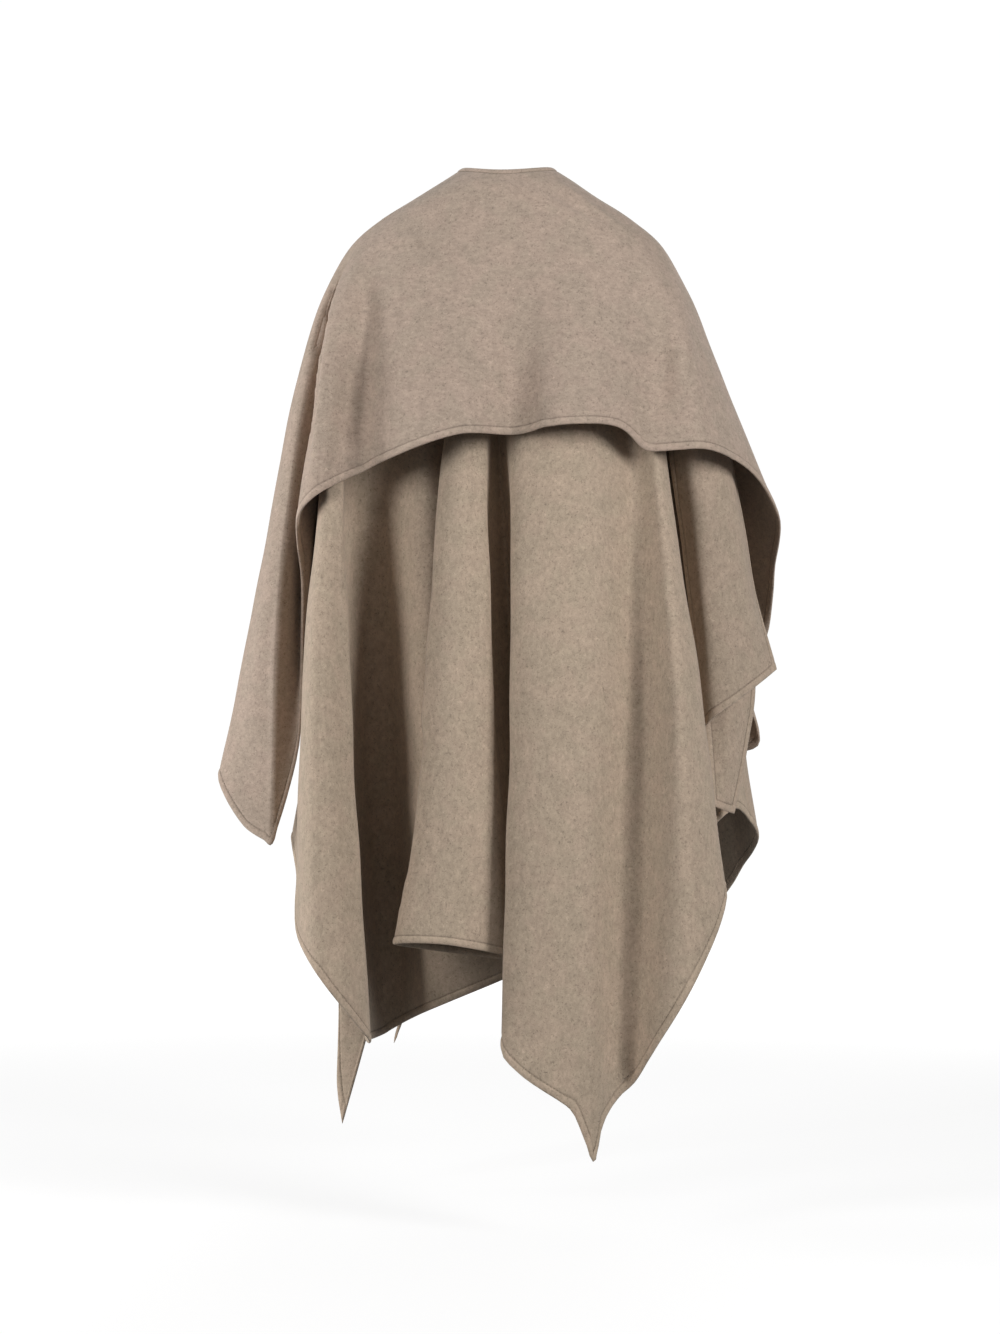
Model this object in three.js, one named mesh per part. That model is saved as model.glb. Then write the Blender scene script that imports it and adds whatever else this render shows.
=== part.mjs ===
// Wrapped cape of thick double-faced wool, worn on a general figure, in millimetres, +Z up.
// The wearer faces +Y, so the back of the cape faces -Y, and the origin is the base of the neck.
// Every piece is one sheet of cloth. A sheet is stated by its fold lines: each line starts at the
// neck edge, runs over the shoulder and falls to the hem, and the cloth bends smoothly from one
// line to the next. The body is three panels, which meet at the two side seams. The wings and the
// side drape hang over the arms, and the shawl lies over everything.
import * as THREE from 'three';

// Cloth
const WALL = 2.6;             // thickness of the double-faced wool
const SEAM_GAP = 0.3;         // clear space between two panels that meet at a seam

// Heights that the fold lines pass, above the hem
const CHEST_Z = -170;
const MID_Z = -292;
const LOW_Z = -600;

// Rings of the innermost layer, from the neck down over the shoulders: half width, half depth at
// the back and the front, and the height at the back, side and front. An outer layer follows the
// same rings, moved by its own distance along `out` and `up`.
const NECK = { width: 51, back: 56, front: 51, backZ: 41, sideZ: 50, frontZ: 20, out: 0.63, up: 0.78 };
const SLOPE = { width: 116, back: 72, front: 68, backZ: 12, sideZ: -1, frontZ: -8, out: 0.6, up: 0.8 };
const SHOULDER = { width: 184, back: 90, front: 88, backZ: -48, sideZ: -58, frontZ: -64, out: 0.85, up: 0.5 };
const CHEST = { width: 228, back: 120, front: 118, backZ: CHEST_Z, sideZ: CHEST_Z, frontZ: CHEST_Z, out: 1.0, up: 0.0 };
const RING_ROUNDNESS = 0.8;   // 1 is an ellipse, and less is squarer at the shoulders

// Distance of each layer outside the innermost one, at the neck, slope, shoulder and chest rings
const LAYERS = {
  body: [0, 0, 0, 0],
  drape: [3.2, 6, 8, 8],
  wing: [6.4, 12, 16, 16],
  innerWing: [3.2, 8, 10, 10],
  shawl: [9.6, 17, 23],
};

// Fold lines. `angle` is the place on the rings in degrees from the centre back, + to the wearer's
// right; `mid` and `low` are x and y at MID_Z and LOW_Z; `hem` is x, y and z; `steps` is how many
// columns of the sheet lie between this line and the next.
const FRONT_LEFT_FOLDS = [
  { fold: 'frontEdge', angle: -176, mid: [-30, 146], low: [-60, 160], hem: [-220, 128, -1200], steps: 3 },
  { fold: 'frontHollow', angle: -150, mid: [-118, 134], low: [-156, 142], hem: [-228, 143, -1148], steps: 3 },
  { fold: 'frontCrest', angle: -125, mid: [-196, 95], low: [-220, 104], hem: [-229, 146, -1010], steps: 3 },
  { fold: 'sideFront', angle: -105, mid: [-228, 40], low: [-244, 48], hem: [-271, 70, -869], steps: 3 },
];

const BACK_FOLDS = [
  { fold: 'seamLeft', angle: -90, mid: [-228, -10], low: [-246, -5], hem: [-279, -5, -810], steps: 2 },
  { fold: 'pillarLeftRoll', angle: -80, mid: [-229, -48], low: [-252, -82], hem: [-266, -85, -858], steps: 2 },
  { fold: 'pillarLeftOuter', angle: -71, mid: [-230, -82], low: [-255, -145], hem: [-262, -158, -921], steps: 2 },
  { fold: 'pillarLeftCrest', angle: -59, mid: [-220, -106], low: [-236, -183], hem: [-232, -222, -968], steps: 3 },
  { fold: 'pillarLeftInner', angle: -51, mid: [-207, -110], low: [-198, -158], hem: [-172, -181, -1050], steps: 2 },
  { fold: 'returnLeft', angle: -46, mid: [-203, -94], low: [-203, -105], hem: [-178, -110, -1060], steps: 2 },
  { fold: 'floorLeft', angle: -41, mid: [-184, -70], low: [-182, -48], hem: [-157, -35, -1059], steps: 2 },
  { fold: 'floorMiddle', angle: -33, mid: [-150, -70], low: [-146, -50], hem: [-130, -46, -1043], steps: 2 },
  { fold: 'floorRise', angle: -26, mid: [-106, -98], low: [-109, -126], hem: [-98, -104, -1022], steps: 2 },
  { fold: 'floorRight', angle: -21, mid: [-84, -90], low: [-64, -98], hem: [-50, -106, -1002], steps: 2 },
  { fold: 'pleatTurnDeep', angle: -16, mid: [-62, -86], low: [-12, -58], hem: [27, -74, -972], steps: 2 },
  { fold: 'pleatTurnNear', angle: -13, mid: [-56, -100], low: [-8, -84], hem: [29, -102, -964], steps: 2 },
  { fold: 'pleatBack', angle: -11, mid: [-66, -112], low: [-53, -127], hem: [-66, -137, -947], steps: 2 },
  { fold: 'pleatCrease', angle: -9, mid: [-77, -128], low: [-104, -165], hem: [-142, -190, -931], steps: 2 },
  { fold: 'pleatFront', angle: -7, mid: [-57, -146], low: [-65, -195], hem: [-83, -222, -928], steps: 3 },
  { fold: 'pleatEdge', angle: -4, mid: [-28, -140], low: [-20, -180], hem: [-2, -195, -945], steps: 2 },
  { fold: 'gapLeft', angle: -2.5, mid: [-25, -124], low: [-20, -150], hem: [14, -168, -955], steps: 2 },
  { fold: 'gapDeep', angle: -1, mid: [-10, -100], low: [8, -110], hem: [38, -138, -966], steps: 2 },
  { fold: 'gapRight', angle: 0.2, mid: [1, -120], low: [20, -148], hem: [38, -182, -1000], steps: 2 },
  { fold: 'pillarRightInner', angle: 1.5, mid: [7, -142], low: [5, -195], hem: [-7, -235, -1059], steps: 2 },
  { fold: 'pillarRightFront', angle: 8, mid: [46, -157], low: [46, -226], hem: [44, -264, -1103], steps: 2 },
  { fold: 'pillarRightRoll', angle: 14, mid: [78, -158], low: [80, -231], hem: [78, -263, -1127], steps: 2 },
  { fold: 'pillarRightPoint', angle: 20, mid: [106, -153], low: [110, -224], hem: [108, -262, -1190], steps: 1 },
  { fold: 'troughFall', angle: 25, mid: [131, -138], low: [138, -206], hem: [122, -246, -1150], steps: 2 },
  { fold: 'trough', angle: 30, mid: [152, -118], low: [160, -182], hem: [146, -218, -1109], steps: 2 },
  { fold: 'troughRise', angle: 35, mid: [167, -124], low: [183, -202], hem: [172, -240, -1065], steps: 2 },
  { fold: 'pillarRightCrest', angle: 41, mid: [182, -136], low: [206, -232], hem: [222, -256, -985], steps: 3 },
  { fold: 'pillarRightOuter', angle: 52, mid: [197, -112], low: [238, -182], hem: [271, -185, -868], steps: 2 },
  { fold: 'returnRight', angle: 64, mid: [192, -74], low: [210, -105], hem: [246, -105, -815], steps: 2 },
  { fold: 'hemRiseRight', angle: 78, mid: [212, -36], low: [256, -55], hem: [292, -58, -769], steps: 2 },
  { fold: 'seamRight', angle: 90, mid: [232, -5], low: [288, -15], hem: [314, -20, -788], steps: 2 },
];

const FRONT_RIGHT_FOLDS = [
  { fold: 'sideFront', angle: 100, mid: [240, 40], low: [296, 22], hem: [328, 25, -814], steps: 2 },
  { fold: 'frontCorner', angle: 115, mid: [224, 86], low: [283, 80], hem: [314, 90, -851], steps: 2 },
  { fold: 'frontHollow', angle: 130, mid: [182, 120], low: [238, 125], hem: [280, 135, -907], steps: 3 },
  { fold: 'frontCrest', angle: 145, mid: [125, 142], low: [160, 158], hem: [181, 178, -954], steps: 3 },
  { fold: 'frontMiddle', angle: 160, mid: [60, 146], low: [66, 166], hem: [73, 190, -996], steps: 3 },
  { fold: 'frontInner', angle: 170, mid: [14, 148], low: [-14, 166], hem: [-108, 182, -1006], steps: 3 },
  { fold: 'frontEdge', angle: 177, mid: [-14, 147], low: [-40, 160], hem: [-153, 170, -1097], steps: 0 },
];

const WING_LEFT_FOLDS = [
  { fold: 'frontEdge', angle: -112, mid: [-236, 76], low: [-252, 80, -470], hem: [-260, 85, -560], steps: 3 },
  { fold: 'front', angle: -102, mid: [-245, 46], low: [-262, 46, -480], hem: [-275, 46, -585], steps: 3 },
  { fold: 'corner', angle: -93, mid: [-246, 10], low: [-261, 8, -500], hem: [-276, 8, -601], steps: 3 },
  { fold: 'backEdge', angle: -85, mid: [-242, -14], low: [-257, -18, -480], hem: [-261, -24, -603], steps: 0 },
];

const WING_RIGHT_FOLDS = [
  { fold: 'backEdge', angle: 60, mid: [206, -80], low: [223, -86, -440], hem: [247, -105, -669], steps: 2 },
  { fold: 'turn', angle: 66, mid: [230, -98], low: [242, -108, -440], hem: [262, -121, -650], steps: 2 },
  { fold: 'back', angle: 73, mid: [252, -90], low: [266, -104, -440], hem: [285, -114, -634], steps: 2 },
  { fold: 'crest', angle: 82, mid: [274, -62], low: [297, -76, -440], hem: [318, -82, -611], steps: 3 },
  { fold: 'frontEdge', angle: 92, mid: [284, -20], low: [316, -24, -474], hem: [346, -42, -591], steps: 0 },
];

const DRAPE_RIGHT_FOLDS = [
  { fold: 'backEdge', angle: 66, mid: [222, -54], low: [244, -86, -600], hem: [257, -130, -761], steps: 3 },
  { fold: 'middle', angle: 76, mid: [242, -52], low: [280, -88, -600], hem: [271, -114, -768], steps: 3 },
  { fold: 'frontEdge', angle: 86, mid: [262, -34], low: [318, -50, -610], hem: [287, -92, -774], steps: 0 },
];

// The shawl's lines leave the rings at the shoulder: `chest` is x and y at CHEST_Z, and `low` and
// `hem` are x, y and z.
const SHAWL_FOLDS = [
  { fold: 'endLeft', angle: -178, chest: [-10, 158], low: [-12, 184, -370], hem: [-14, 192, -560], steps: 3 },
  { fold: 'frontLeft', angle: -150, chest: [-110, 148], low: [-140, 190, -380], hem: [-160, 200, -600], steps: 3 },
  { fold: 'frontTurnLeft', angle: -125, chest: [-205, 108], low: [-240, 135, -410], hem: [-272, 148, -660], steps: 2 },
  { fold: 'armFrontLeft', angle: -105, chest: [-250, 45], low: [-302, 62, -450], hem: [-348, 66, -712], steps: 2 },
  { fold: 'armLeft', angle: -92, chest: [-258, -5], low: [-320, -5, -469], hem: [-373, -5, -732], steps: 2 },
  { fold: 'armBackLeft', angle: -85, chest: [-255, -42], low: [-312, -50, -480], hem: [-337, -52, -792], steps: 2 },
  { fold: 'cornerFall', angle: -81, chest: [-249, -60], low: [-296, -70, -470], hem: [-309, -70, -809], steps: 1 },
  { fold: 'cornerLeft', angle: -78, chest: [-243, -63], low: [-288, -76, -462], hem: [-301, -75, -815], steps: 1 },
  { fold: 'cornerRise', angle: -75, chest: [-237, -59], low: [-279, -66, -472], hem: [-295, -72, -796], steps: 2 },
  { fold: 'valleyLeft', angle: -71, chest: [-231, -50], low: [-270, -34, -500], hem: [-269, -58, -700], steps: 3 },
  { fold: 'stripLeft', angle: -68, chest: [-222, -78], low: [-243, -66, -350], hem: [-264, -62, -471], steps: 2 },
  { fold: 'flapEdge', angle: -65, chest: [-232, -112], low: [-250, -118, -300], hem: [-265, -112, -402], steps: 2 },
  { fold: 'flapLeft', angle: -57, chest: [-215, -137], low: [-228, -150, -285], hem: [-238, -150, -372], steps: 2 },
  { fold: 'flapHollow', angle: -46, chest: [-186, -124], low: [-189, -112, -260], hem: [-188, -122, -344], steps: 2 },
  { fold: 'flapRise', angle: -35, chest: [-146, -150], low: [-148, -160, -250], hem: [-144, -168, -327], steps: 2 },
  { fold: 'crestLeft', angle: -17, chest: [-68, -166], low: [-62, -186, -236], hem: [-60, -202, -300], steps: 3 },
  { fold: 'centreBack', angle: 1.5, chest: [6, -150], low: [9, -158, -234], hem: [11, -166, -298], steps: 3 },
  { fold: 'crestRight', angle: 16, chest: [76, -168], low: [72, -190, -231], hem: [68, -206, -289], steps: 3 },
  { fold: 'crestFall', angle: 31, chest: [148, -148], low: [146, -164, -238], hem: [143, -180, -291], steps: 2 },
  { fold: 'hemPoint', angle: 40, chest: [182, -128], low: [179, -140, -245], hem: [173, -160, -317], steps: 2 },
  { fold: 'flapRight', angle: 54, chest: [212, -132], low: [228, -146, -245], hem: [244, -158, -315], steps: 3 },
  { fold: 'turnRight', angle: 73, chest: [248, -70], low: [282, -72, -258], hem: [314, -72, -341], steps: 2 },
  { fold: 'armRight', angle: 90, chest: [262, 0], low: [308, -6, -285], hem: [353, -10, -397], steps: 2 },
  { fold: 'armFrontRight', angle: 104, chest: [252, 50], low: [306, 48, -300], hem: [352, 45, -457], steps: 2 },
  { fold: 'hemFallRight', angle: 120, chest: [222, 98], low: [292, 92, -340], hem: [348, 88, -538], steps: 2 },
  { fold: 'lobeRise', angle: 127, chest: [203, 112], low: [279, 110, -370], hem: [321, 103, -630], steps: 2 },
  { fold: 'hemLobe', angle: 135, chest: [180, 126], low: [262, 128, -400], hem: [336, 114, -692], steps: 3 },
  { fold: 'frontRight', angle: 155, chest: [95, 152], low: [150, 176, -400], hem: [210, 180, -690], steps: 3 },
  { fold: 'endRight', angle: 178, chest: [2, 158], low: [0, 184, -370], hem: [-2, 192, -560], steps: 0 },
];

// Rows of a sheet between one height of its fold lines and the next, from the neck to the hem
const LONG_ROWS = [2, 2, 3, 2, 4, 5];
const SHORT_ROWS = [2, 2, 2, 2, 2];
const SHAWL_ROWS = [2, 2, 2, 3, 3];

const COLOURS = { body: '#a5947f', side: '#9d8c77', shawl: '#ac9b86' };
const CLOTH_ROUGHNESS = 0.95;

// Point on a ring at an angle from the centre back, moved out by a layer's distance.
function ringPoint(ring, angle, distance) {
  const turn = THREE.MathUtils.degToRad(angle);
  const side = Math.sin(turn);
  const backness = Math.cos(turn);
  const x = Math.sign(side) * Math.abs(side) ** RING_ROUNDNESS;
  const y = -Math.sign(backness) * Math.abs(backness) ** RING_ROUNDNESS;
  const depth = backness > 0 ? ring.back : ring.front;
  const endZ = backness > 0 ? ring.backZ : ring.frontZ;
  const z = THREE.MathUtils.lerp(ring.sideZ, endZ, backness * backness);
  return new THREE.Vector3(
    x * ring.width + side * distance * ring.out,
    y * depth - backness * distance * ring.out,
    z + distance * ring.up,
  );
}

// The points of a body, wing or drape line. A `low` of two numbers lies at LOW_Z.
function panelLine(row, layer) {
  const rings = [NECK, SLOPE, SHOULDER, CHEST];
  const points = rings.map((ring, level) => ringPoint(ring, row.angle, layer[level]));
  points.push(new THREE.Vector3(row.mid[0], row.mid[1], MID_Z));
  points.push(new THREE.Vector3(row.low[0], row.low[1], row.low[2] ?? LOW_Z));
  points.push(new THREE.Vector3(...row.hem));
  return points;
}

function shawlLine(row) {
  const rings = [NECK, SLOPE, SHOULDER];
  const points = rings.map((ring, level) => ringPoint(ring, row.angle, LAYERS.shawl[level]));
  points.push(new THREE.Vector3(row.chest[0], row.chest[1], CHEST_Z));
  points.push(new THREE.Vector3(...row.low));
  points.push(new THREE.Vector3(...row.hem));
  return points;
}

// Points along a smooth curve through the given ones, with `steps` spaces in each stretch.
function smoothThrough(points, steps) {
  const curve = new THREE.CatmullRomCurve3(points, false, 'centripetal');
  const last = points.length - 1;
  const samples = [];
  for (let stretch = 0; stretch < last; stretch += 1) {
    for (let step = 0; step < steps[stretch]; step += 1) {
      samples.push(curve.getPoint((stretch + step / steps[stretch]) / last));
    }
  }
  samples.push(points[last].clone());
  return samples;
}

// The middle surface of a sheet: rows from the neck to the hem, each with a point for every column.
function sheetGrid(folds, lines, rowSteps) {
  const columnSteps = folds.map((row) => row.steps);
  const fallen = lines.map((points) => smoothThrough(points, rowSteps));
  return fallen[0].map((_, level) => smoothThrough(fallen.map((line) => line[level]), columnSteps));
}

function difference(grid, rowA, columnA, rowB, columnB) {
  return new THREE.Vector3().subVectors(grid[rowB][columnB], grid[rowA][columnA]);
}

// Unit normals of the middle surface, away from the wearer where the cloth isn't folded back.
function gridNormals(grid) {
  const lastRow = grid.length - 1;
  const lastColumn = grid[0].length - 1;
  return grid.map((points, row) => points.map((_, column) => {
    const above = Math.max(row - 1, 0);
    const below = Math.min(row + 1, lastRow);
    const before = Math.max(column - 1, 0);
    const after = Math.min(column + 1, lastColumn);
    const down = difference(grid, above, column, below, column);
    const across = difference(grid, row, before, row, after);
    return down.cross(across).normalize();
  }));
}

// Columns `first` to `last` of a sheet, with half a seam gap taken off at the ends that are sewn.
function cutPanel(sheet, first, last, sewnFirst, sewnLast) {
  const grid = sheet.grid.map((points) => points.slice(first, last + 1).map((point) => point.clone()));
  const normals = sheet.normals.map((row) => row.slice(first, last + 1));
  const end = last - first;
  if (sewnFirst) trimEdge(grid, 0, 1);
  if (sewnLast) trimEdge(grid, end, end - 1);
  return { grid, normals };
}

// Moves an edge column towards its neighbour, square to the seam that it runs along.
function trimEdge(grid, edge, neighbour) {
  const moves = grid.map((points, row) => {
    const above = grid[Math.max(row - 1, 0)][edge];
    const below = grid[Math.min(row + 1, grid.length - 1)][edge];
    const along = new THREE.Vector3().subVectors(below, above);
    const inward = new THREE.Vector3().subVectors(points[neighbour], points[edge]);
    return inward.projectOnPlane(along.normalize()).setLength(SEAM_GAP / 2);
  });
  grid.forEach((points, row) => points[edge].add(moves[row]));
}

function makeSheet(folds, lines, rowSteps) {
  const grid = sheetGrid(folds, lines, rowSteps);
  return { grid, normals: gridNormals(grid) };
}

// One closed wall of cloth: an outer and an inner face, half the wall from the middle surface,
// and a rim round all four edges. The rims of the two side edges are split along the same diagonal,
// so that sewn edges lie parallel.
function wallGeometry({ grid, normals }) {
  const rows = grid.length;
  const columns = grid[0].length;
  const positions = [];
  for (const side of [0.5, -0.5]) {
    grid.forEach((points, row) => points.forEach((point, column) => {
      positions.push(...point.clone().addScaledVector(normals[row][column], side * WALL).toArray());
    }));
  }
  const outer = (row, column) => row * columns + column;
  const inner = (row, column) => rows * columns + outer(row, column);
  const triangles = [];
  for (let row = 0; row < rows - 1; row += 1) {
    for (let column = 0; column < columns - 1; column += 1) {
      addQuad(triangles, outer, row, column);
      addBackQuad(triangles, inner, row, column);
    }
  }
  const border = sheetBorder(rows, columns);
  border.forEach(([row, column], index) => {
    const [nextRow, nextColumn] = border[(index + 1) % border.length];
    const start = [outer(row, column), inner(row, column)];
    const end = [outer(nextRow, nextColumn), inner(nextRow, nextColumn)];
    const goesUp = nextRow < row;
    const [a, b, c, d] = goesUp ? [...start, end[1], end[0]] : [end[0], ...start, end[1]];
    triangles.push(a, b, c, a, c, d);
  });
  const geometry = new THREE.BufferGeometry();
  geometry.setAttribute('position', new THREE.Float32BufferAttribute(positions, 3));
  geometry.setIndex(triangles);
  geometry.computeVertexNormals();
  return geometry;
}

// The two triangles of one cell, split along the same diagonal on both faces.
function addQuad(triangles, at, row, column) {
  triangles.push(at(row, column), at(row + 1, column), at(row + 1, column + 1));
  triangles.push(at(row, column), at(row + 1, column + 1), at(row, column + 1));
}

function addBackQuad(triangles, at, row, column) {
  triangles.push(at(row, column), at(row + 1, column + 1), at(row + 1, column));
  triangles.push(at(row, column), at(row, column + 1), at(row + 1, column + 1));
}

// Grid places round the edge of a sheet: down the first column, along the hem, and back.
function sheetBorder(rows, columns) {
  const border = [];
  for (let row = 0; row < rows - 1; row += 1) border.push([row, 0]);
  for (let column = 0; column < columns - 1; column += 1) border.push([rows - 1, column]);
  for (let row = rows - 1; row > 0; row -= 1) border.push([row, columns - 1]);
  for (let column = columns - 1; column > 0; column -= 1) border.push([0, column]);
  return border;
}

function clothMesh(name, sheet, colour) {
  const material = new THREE.MeshStandardMaterial({ color: colour, roughness: CLOTH_ROUGHNESS, metalness: 0 });
  const mesh = new THREE.Mesh(wallGeometry(sheet), material);
  mesh.name = name;
  return mesh;
}

// The body is worked out as one ring of cloth and cut at the side seams, so that the panels line up.
function bodyMeshes() {
  const folds = [...FRONT_LEFT_FOLDS, ...BACK_FOLDS, ...FRONT_RIGHT_FOLDS];
  const sheet = makeSheet(folds, folds.map((row) => panelLine(row, LAYERS.body)), LONG_ROWS);
  const columnOf = (count) => folds.slice(0, count).reduce((sum, row) => sum + row.steps, 0);
  const seamLeft = columnOf(FRONT_LEFT_FOLDS.length);
  const seamRight = columnOf(FRONT_LEFT_FOLDS.length + BACK_FOLDS.length - 1);
  const lastColumn = sheet.grid[0].length - 1;
  return [
    clothMesh('front_left', cutPanel(sheet, 0, seamLeft, false, true), COLOURS.body),
    clothMesh('back_panel', cutPanel(sheet, seamLeft, seamRight, true, true), COLOURS.body),
    clothMesh('front_right', cutPanel(sheet, seamRight, lastColumn, true, false), COLOURS.body),
  ];
}

function sideMesh(name, folds, layer) {
  const lines = folds.map((row) => panelLine(row, layer));
  return clothMesh(name, makeSheet(folds, lines, [2, ...SHORT_ROWS]), COLOURS.side);
}

const cape = new THREE.Group();
cape.name = 'cape';
cape.add(...bodyMeshes());
cape.add(sideMesh('wing_left', WING_LEFT_FOLDS, LAYERS.innerWing));
cape.add(sideMesh('wing_right', WING_RIGHT_FOLDS, LAYERS.wing));
cape.add(sideMesh('side_drape_right', DRAPE_RIGHT_FOLDS, LAYERS.drape));
cape.add(clothMesh('shawl', makeSheet(SHAWL_FOLDS, SHAWL_FOLDS.map(shawlLine), SHAWL_ROWS), COLOURS.shawl));

export default cape;
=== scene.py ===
# %% [markdown]
# # A wrapped cape of thick wool
# The cape is seven sheets of brushed, double-faced wool that hang from the shoulders: a body of three
# panels, two wings and a drape over the arms, and a shawl over everything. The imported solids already
# have the hang of each sheet, in flat facets. This lesson reads their points, lays a fine smooth
# sheet through them, hems it, creases it, and gives it a felted wool finish.
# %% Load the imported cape
import math
import bmesh
import bpy
import numpy as np
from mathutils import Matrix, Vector


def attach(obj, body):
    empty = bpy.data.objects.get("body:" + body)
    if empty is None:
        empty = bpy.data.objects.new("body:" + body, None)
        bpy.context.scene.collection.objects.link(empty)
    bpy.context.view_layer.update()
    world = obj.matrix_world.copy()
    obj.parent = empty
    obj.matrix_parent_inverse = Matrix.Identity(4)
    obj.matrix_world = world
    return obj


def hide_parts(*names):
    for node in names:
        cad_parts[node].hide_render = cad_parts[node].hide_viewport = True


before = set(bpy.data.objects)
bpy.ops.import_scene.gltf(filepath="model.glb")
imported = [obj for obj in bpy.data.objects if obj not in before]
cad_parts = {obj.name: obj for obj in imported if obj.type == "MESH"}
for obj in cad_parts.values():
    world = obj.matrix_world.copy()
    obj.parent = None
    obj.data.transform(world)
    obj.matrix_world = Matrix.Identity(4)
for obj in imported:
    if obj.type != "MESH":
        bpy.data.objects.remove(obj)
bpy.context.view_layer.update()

print("packed nodes:", sorted(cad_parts))

# %% [markdown]
# ## The camera
# The cape is seen square on to the wearer's back, from a few metres away, with a long lens. A long
# lens keeps the hanging folds upright, as they look from across a room.
# %% Camera behind the wearer
def studio_camera(place, lens):
    data = bpy.data.cameras.new("studio_camera")
    data.lens = lens
    data.sensor_width = 36
    camera = bpy.data.objects.new("studio_camera", data)
    camera.location = place
    camera.rotation_euler = (math.radians(90), 0, 0)
    bpy.context.scene.collection.objects.link(camera)
    bpy.context.scene.camera = camera
    return camera


camera = studio_camera((-0.0091, -4.0, -0.5876), 83.04)
print("camera", tuple(round(v, 3) for v in camera.location))

# %% [markdown]
# ## Reading a sheet's own grid
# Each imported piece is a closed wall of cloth: a grid of points outside, the same grid inside, and a
# rim. A merged copy is made, its rim is taken off, and the two faces come apart. Each is then read
# row by row from the neck: under every edge of a row there is a triangle, whose third corner is the
# next point down. Halfway between the two faces lies the sheet that a maker would cut.
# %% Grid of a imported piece
WALL = 0.0026


def other_corner(face, known):
    return next(corner for corner in face.verts if corner not in known)


def edge_between(a, b):
    return next(edge for edge in a.link_edges if edge.other_vert(a) == b)


def top_row(corner):
    """Points from the first corner along the upper edge of a sheet, to the next corner."""
    lines = []
    for edge in [edge for edge in corner.link_edges if edge.is_boundary]:
        line = [corner, edge.other_vert(corner)]
        while len(line[-1].link_faces) > 1:
            rim = [edge.other_vert(line[-1]) for edge in line[-1].link_edges if edge.is_boundary]
            line.append(next(point for point in rim if point != line[-2]))
        lines.append(line)
    return max(lines, key=lambda line: line[-1].co.z)


def next_row(row, above):
    """The row of points under a row, or nothing where the sheet ends."""
    below = []
    for left, right in zip(row, row[1:]):
        faces = [face for face in edge_between(left, right).link_faces if above.isdisjoint(face.verts)]
        if not faces:
            return []
        under = other_corner(faces[0], (left, right))
        if not below:
            slant = edge_between(left, under)
            first = next(face for face in slant.link_faces if face != faces[0])
            below.append(other_corner(first, (left, under)))
        below.append(under)
    return below


def sheet_points(corner):
    rows = [top_row(corner)]
    above = set()
    while below := next_row(rows[-1], above):
        above = set(rows[-1])
        rows.append(below)
    return np.array([[tuple(point.co) for point in row] for row in rows])


def cloth_cage(node):
    """The points halfway through a piece's wall, as rows x columns x 3."""
    copy = bmesh.new()
    copy.from_mesh(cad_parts[node].data)
    bmesh.ops.remove_doubles(copy, verts=copy.verts, dist=1e-6)
    across = {edge for edge in copy.edges if abs(edge.calc_length() - WALL) < 2e-6}
    rim = [face for face in copy.faces if not across.isdisjoint(face.edges)]
    bmesh.ops.delete(copy, geom=rim, context="FACES")
    corners = sorted((point for point in copy.verts if len(point.link_faces) == 2), key=lambda p: -p.co.z)
    faces = [sheet_points(corner) for corner in corners[:2]]
    copy.free()
    return (faces[0] + faces[1]) / 2


CAGES = {name: cloth_cage(name) for name in sorted(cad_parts)}
for name, cage in CAGES.items():
    print(f"{name}: {cage.shape[0]} rows, {cage.shape[1]} columns")

# %% [markdown]
# ## A smooth sheet through the points
# Cloth bends in one long curve between its folds. A Catmull-Rom curve passes through all its points
# and takes its slope from their neighbours, and its centripetal form doesn't overshoot where points
# are close. Run across the rows and then down the columns, it gives a smooth place for any row and
# column of the sheet, whole or not.
# %% Smooth cloth between cage points
def carried_on(cage):
    """The cage with one more row and column all round, straight on from the last ones."""
    tall = np.concatenate([2 * cage[:1] - cage[1:2], cage, 2 * cage[-1:] - cage[-2:-1]])
    return np.concatenate([2 * tall[:, :1] - tall[:, 1:2], tall, 2 * tall[:, -1:] - tall[:, -2:-1]], axis=1)


def smooth_between(p0, p1, p2, p3, t):
    """Points between p1 and p2 on the curve through four points."""
    before, here, after = (
        np.sqrt(np.maximum(np.linalg.norm(b - a, axis=-1, keepdims=True), 1e-9))
        for a, b in ((p0, p1), (p1, p2), (p2, p3))
    )
    start = ((p1 - p0) / before - (p2 - p0) / (before + here) + (p2 - p1) / here) * here
    end = ((p2 - p1) / here - (p3 - p1) / (here + after) + (p3 - p2) / after) * here
    t = t[..., None]
    return (
        (2 * t**3 - 3 * t**2 + 1) * p1 + (t**3 - 2 * t**2 + t) * start
        + (3 * t**2 - 2 * t**3) * p2 + (t**3 - t**2) * end
    )


def cloth_at(cage, row, column):
    """Places on the sheet, for arrays of rows and columns of its cage."""
    grid = carried_on(cage)
    i = np.clip(row.astype(int), 0, cage.shape[0] - 2)
    j = np.clip(column.astype(int), 0, cage.shape[1] - 2)
    lines = [smooth_between(*(grid[i + a, j + b] for b in range(4)), column - j) for a in range(4)]
    return smooth_between(*lines, row - i)


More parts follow.
